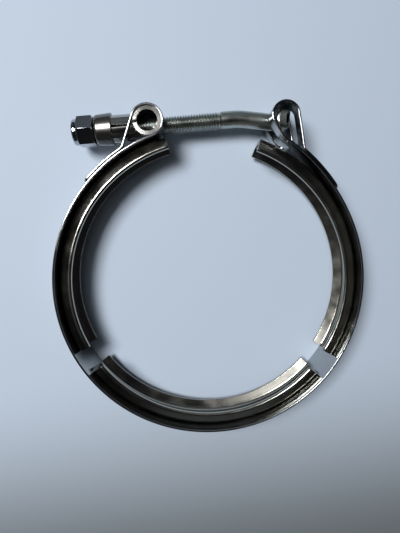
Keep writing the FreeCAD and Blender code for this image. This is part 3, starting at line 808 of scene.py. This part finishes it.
# %% Join the thread to the bolt
bpy.ops.object.select_all(action="DESELECT")
smooth(bolt)
ridge.select_set(True)
bolt.select_set(True)
bpy.context.view_layer.objects.active = bolt
bpy.ops.object.join()
place(bolt, "t_bolt", "latch", forged)

# %% [markdown]
# ## The lock nut
#
# A hexagon is intersected with a body that has a cone at each end, which leaves the curved
# corners that turning gives a real nut. It is turned by 30 degrees, so that a corner points up.

# %% Turn the hexagon's corners
CORNER_UP = 30
CONE_ANGLE = 30
NUT_FLATS = 10.0
COLLAR_HEIGHT = 1.9
NUT_CONE = 6.4
NUT_WASHER = 4.9
nut_corner = NUT_FLATS / math.sqrt(3)
collar_start = nut_end + COLLAR_HEIGHT

nut = start(bpy.ops.mesh.primitive_cylinder_add, vertices=6, radius=nut_corner * MM,
            depth=(nut_seat - collar_start) * MM, rotation=(0, math.pi / 2, 0),
            location=((nut_seat + collar_start) / 2 * MM, BOLT_Y * MM, 0))
bpy.ops.transform.rotate(value=math.radians(CORNER_UP), orient_axis="X",
                         center_override=(0, BOLT_Y * MM, 0))
close(nut, "nut_body")
cone_drop = (NUT_CONE - NUT_WASHER) * math.tan(math.radians(CONE_ANGLE))
cones = turned((collar_start, NUT_WASHER), (collar_start + cone_drop, NUT_CONE),
               (nut_seat - cone_drop, NUT_CONE), (nut_seat, NUT_WASHER), sides=96)
combine(nut, "INTERSECT", cones)
print("hexagon", len(nut.data.polygons), "faces")

# %% [markdown]
# A rounded collar holds a plastic ring, which grips the thread and locks the nut. The collar is
# united with the hexagon, and one stepped tool cuts its mouth, the ring's groove and the bore.

# %% Add the collar and bore the nut
COLLAR_RADIUS = 4.65
COLLAR_ROUND = 0.9
COLLAR_LIP = 0.5
COLLAR_OPENING = 3.4
RING_HEIGHT = 2.2
RING_RADIUS = 4.0
NUT_BORE = 3.0
COUNTERSINK = 0.3
TAP_PAST = 0.2
ring_low = nut_end + COLLAR_LIP
ring_high = ring_low + RING_HEIGHT

collar = turned((nut_end, COLLAR_RADIUS), (collar_start + OVERSHOOT, COLLAR_RADIUS))
reopen(collar)
pick("FACE", lambda at: at.x < nut_end + PICK)
bpy.ops.mesh.bevel(offset=COLLAR_ROUND * MM, segments=6)
close(collar, "tool")
combine(nut, "UNION", collar)
tap = turned((nut_end - OVERSHOOT, COLLAR_OPENING), (ring_low, COLLAR_OPENING),
             (ring_low, RING_RADIUS), (ring_high, RING_RADIUS), (ring_high, NUT_BORE),
             (nut_seat - COUNTERSINK, NUT_BORE),
             (nut_seat + TAP_PAST, NUT_BORE + COUNTERSINK + TAP_PAST), sides=60)
combine(nut, "DIFFERENCE", tap)
soften(nut, TURNED_EDGE)
place(nut, "lock_nut", "nut", plated)

# %% [markdown]
# The plastic ring inside the collar is a plain ring, and the measured part already has its shape.
# So it stays, and only gets its colour: the dull white of undyed nylon.

# %% Colour the plastic ring
NYLON_WHITE = (0.8, 0.8, 0.74, 1)
NYLON_ROUGHNESS = 0.5
nylon = bpy.data.materials.new("nylon_ring")
nylon.use_nodes = True
nylon_shader = nylon.node_tree.nodes["Principled BSDF"]
nylon_shader.inputs["Base Color"].default_value = NYLON_WHITE
nylon_shader.inputs["Roughness"].default_value = NYLON_ROUGHNESS
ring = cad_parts["nut_insert"]
ring.data.materials.clear()
ring.data.materials.append(nylon)
print("coloured", ring.name)

# %% [markdown]
# ## The bench
#
# The clamp lies flat on bluish white paper, whose colour is darkened towards the viewer as a painted
# shadow of the photographer. One large sheet under the strap's lower edge stands for the paper, and
# far out it is painted dark as shade.

# %% Lay the sheet and give it a paper's dull surface
BENCH_SIZE = 3
PAPER_ROUGHNESS = 0.7
PAPER_SHEEN = 0.2
floor = start(bpy.ops.mesh.primitive_plane_add, size=BENCH_SIZE,
              location=(0, 0, -STRAP_WIDTH / 2 * MM))
close(floor, "bench_paper")
paper = bpy.data.materials.new("pale_paper")
paper.use_nodes = True
nodes, links = paper.node_tree.nodes, paper.node_tree.links
paper_shader = nodes["Principled BSDF"]
paper_shader.inputs["Roughness"].default_value = PAPER_ROUGHNESS
paper_shader.inputs["Specular IOR Level"].default_value = PAPER_SHEEN
floor.data.materials.append(paper)
print("bench at height", -STRAP_WIDTH / 2, "mm")

# %% [markdown]
# The paper's colour is mixed from two by the place along Y, in metres: smoothly from a painted shadow
# at the viewer's side, where the photographer's shadow falls, to the pale paper under the clamp.

# %% Paint the photographer's shadow on the paper towards the viewer
PAPER_WHITE = (0.56, 0.65, 0.77, 1)
# The darker colour is painted shadow: the photographer's shadow on the paper near the viewer.
PAINTED_SHADOW_PAPER = (0.16, 0.18, 0.19, 1)
SHADOW_FULL_Y = -0.135
SHADOW_END_Y = -0.035
spot_on = nodes.new("ShaderNodeTexCoord").outputs["Object"]
apart = nodes.new("ShaderNodeSeparateXYZ")
links.new(spot_on, apart.inputs["Vector"])
nearness = nodes.new("ShaderNodeMapRange")
nearness.interpolation_type = "SMOOTHSTEP"
nearness.inputs["From Min"].default_value = SHADOW_FULL_Y
nearness.inputs["From Max"].default_value = SHADOW_END_Y
links.new(apart.outputs["Y"], nearness.inputs["Value"])
# This mix lays the painted shadow over the paper by the place along Y.
shade = nodes.new("ShaderNodeMix")
shade.data_type = "RGBA"
shade.inputs["A"].default_value = PAINTED_SHADOW_PAPER
shade.inputs["B"].default_value = PAPER_WHITE
links.new(nearness.outputs["Result"], shade.inputs["Factor"])
print("paper", paper.name, "darkens from Y", SHADOW_END_Y, "to", SHADOW_FULL_Y)

# %% [markdown]
# Far from the clamp the paper is painted dark, as painted shade that stands for a dim room. The camera
# doesn't see it, but the polished steel mirrors it. The two are mixed by the distance from the ring's
# axis, in metres.

# %% Paint the far paper dark, as shade for the steel to mirror
# The far colour is painted shade: the polished steel mirrors it as a dim room.
FAR_PAINTED_SHADE = (0.05, 0.05, 0.05, 1)
SHADE_FROM_REACH = 0.35
FULL_SHADE_REACH = 0.6
distance = nodes.new("ShaderNodeVectorMath")
distance.operation = "LENGTH"
links.new(spot_on, distance.inputs[0])
farness = nodes.new("ShaderNodeMapRange")
farness.inputs["From Min"].default_value = SHADE_FROM_REACH
farness.inputs["From Max"].default_value = FULL_SHADE_REACH
links.new(distance.outputs["Value"], farness.inputs["Value"])
bench = nodes.new("ShaderNodeMix")
bench.data_type = "RGBA"
bench.inputs["B"].default_value = FAR_PAINTED_SHADE
links.new(farness.outputs["Result"], bench.inputs["Factor"])
links.new(shade.outputs["Result"], bench.inputs["A"])
links.new(bench.outputs["Result"], paper_shader.inputs["Base Color"])
print("bench starts at", SHADE_FROM_REACH, "and is full at", FULL_SHADE_REACH)

# %% [markdown]
# ## The light
#
# A window up and to the left gives the light and the shadows, and a weak round ceiling lamp stands
# almost overhead. Both are area lamps: their size sets how soft the shadows and how wide the
# highlights on the steel are.

# %% Two lamps


def lamp(name, shape, direction, distance, width, power):
    """A soft lamp that faces the clamp from a direction, in metres and watts."""
    data = bpy.data.lights.new(name, "AREA")
    data.shape = shape
    data.size = width
    data.energy = power
    made = bpy.data.objects.new(name, data)
    bpy.context.scene.collection.objects.link(made)
    made.location = Vector(direction).normalized() * distance
    made.rotation_euler = (-made.location).to_track_quat("-Z", "Y").to_euler()
    print(name, "lamp at", made.location)


lamp("ceiling", "DISK", (-0.165, 0.165, 0.97), distance=0.7, width=0.22, power=0.13)
lamp("window", "SQUARE", (-0.37, 0.29, 0.88), distance=0.9, width=0.3, power=7.5)

# %% [markdown]
# Polished steel shows the room more than its own colour. So the room is dark, with a few faint glows
# like pale walls: that gives dark faces with thin bright edges, as in the photograph. Each glow
# has a direction, the angles at which it starts and is full, in degrees, and a colour.

# %% A dark room with faint glows
ROOM_DARK = (0.012, 0.012, 0.014, 1)
GLOWS = [
    ((0.1, 0.88, 0.46), 36, 10, (0.15, 0.17, 0.18)),
    ((0.0, -0.93, 0.37), 25, 8, (0.13, 0.125, 0.1)),
    ((-0.9, -0.1, 0.42), 38, 10, (0.06, 0.06, 0.05)),
]
world = bpy.data.worlds.new("room")
bpy.context.scene.world = world
world.use_nodes = True
nodes, links = world.node_tree.nodes, world.node_tree.links
looking = nodes.new("ShaderNodeTexCoord").outputs["Generated"]
room = nodes.new("ShaderNodeRGB")
room.outputs["Color"].default_value = ROOM_DARK
colour = room.outputs["Color"]
for direction, outer, inner, light in GLOWS:
    nearness = nodes.new("ShaderNodeVectorMath")
    nearness.operation = "DOT_PRODUCT"
    nearness.inputs[1].default_value = Vector(direction).normalized()
    links.new(looking, nearness.inputs[0])
    share = nodes.new("ShaderNodeMapRange")
    share.interpolation_type = "SMOOTHSTEP"
    share.inputs["From Min"].default_value = math.cos(math.radians(outer))
    share.inputs["From Max"].default_value = math.cos(math.radians(inner))
    links.new(nearness.outputs["Value"], share.inputs["Value"])
    added = nodes.new("ShaderNodeMix")
    added.data_type = "RGBA"
    added.blend_type = "ADD"
    added.inputs["B"].default_value = (*light, 1)
    links.new(share.outputs["Result"], added.inputs["Factor"])
    links.new(colour, added.inputs["A"])
    colour = added.outputs["Result"]
links.new(colour, nodes["Background"].inputs["Color"])
print(len(GLOWS), "glows")

# %% [markdown]
# ## The camera
#
# The photograph was taken close above the clamp with a wide lens, almost straight down. The place,
# the lens and the three small turns were found by laying the parts over the photograph. Lens and
# sensor are in millimetres and the turns in degrees. The camera is so close that the nearest
# distance it shows, in metres, has to be small.

# %% Camera
SENSOR_HEIGHT = 36
LENS = 26.0
NEAREST = 0.005
CAMERA_PLACE = Vector((-6.19, 21.77, 147.0)) * MM
CAMERA_TIP = 6.07
CAMERA_SWING = 1.89
CAMERA_ROLL = 5.36
camera_data = bpy.data.cameras.new("camera")
camera_data.sensor_fit = "VERTICAL"
camera_data.sensor_height = SENSOR_HEIGHT
camera_data.lens = LENS
camera_data.clip_start = NEAREST
camera = bpy.data.objects.new("camera", camera_data)
bpy.context.scene.collection.objects.link(camera)
swing = Matrix.Rotation(math.radians(CAMERA_SWING), 3, "Y")
tip = Matrix.Rotation(math.radians(CAMERA_TIP), 3, "X")
roll = Matrix.Rotation(math.radians(CAMERA_ROLL), 3, "Z")
camera.matrix_world = Matrix.Translation(CAMERA_PLACE) @ (swing @ tip @ roll).transposed().to_4x4()
bpy.context.scene.camera = camera
bpy.context.scene.view_settings.view_transform = "Standard"
print("camera at", camera.matrix_world.translation)
